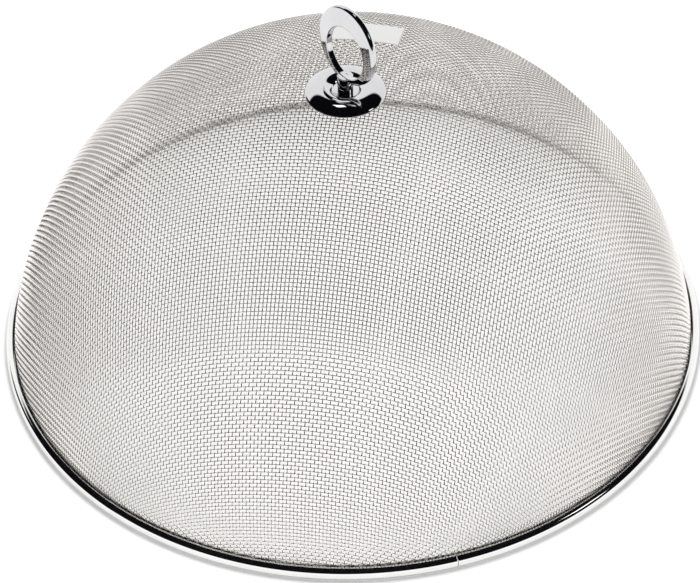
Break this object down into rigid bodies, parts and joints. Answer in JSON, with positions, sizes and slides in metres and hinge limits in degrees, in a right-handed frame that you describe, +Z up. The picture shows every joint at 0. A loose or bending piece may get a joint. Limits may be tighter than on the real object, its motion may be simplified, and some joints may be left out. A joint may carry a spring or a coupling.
{
  "type": "mesh food cover",
  "caption": "Dome of woven steel wire in a rolled steel rim, with a cast ring knob on a pressed saucer, set over food to keep insects off and lifted by the ring.",
  "frame": {"origin": "centre of the rim in the plane of the table, under the dome's crown", "axes": "+Z up along the dome's axis, +X along the width of the knob's ring, +Y through the ring's finger hole"},
  "size_m": [0.356, 0.356, 0.2064],
  "materials": {
    "wire_mesh": "plain-woven stainless wire, satin",
    "polished_steel": "polished stainless strip",
    "hoop_steel": "drawn wire",
    "chrome_plate": "bright chrome plate",
    "zinc_steel": "zinc-plated steel",
    "label_paper": "blank white coated paper"
  },
  "bodies": {
    "cover": {"mesh_dome": "wire_mesh", "rim_band": "polished_steel", "rim_hoop": "hoop_steel", "knob_saucer": "chrome_plate", "spring_washer": "zinc_steel", "backing_washer": "zinc_steel", "label": "label_paper"},
    "knob": {"knob_ring": "chrome_plate", "knob_screw": "zinc_steel"}
  },
  "joints": [
    {"name": "knob_swivel", "type": "hinge", "parent": "cover", "child": "knob", "pos_m": [0, 0, 0.159], "axis": [0, 0, 1], "continuous": true}
  ]
}
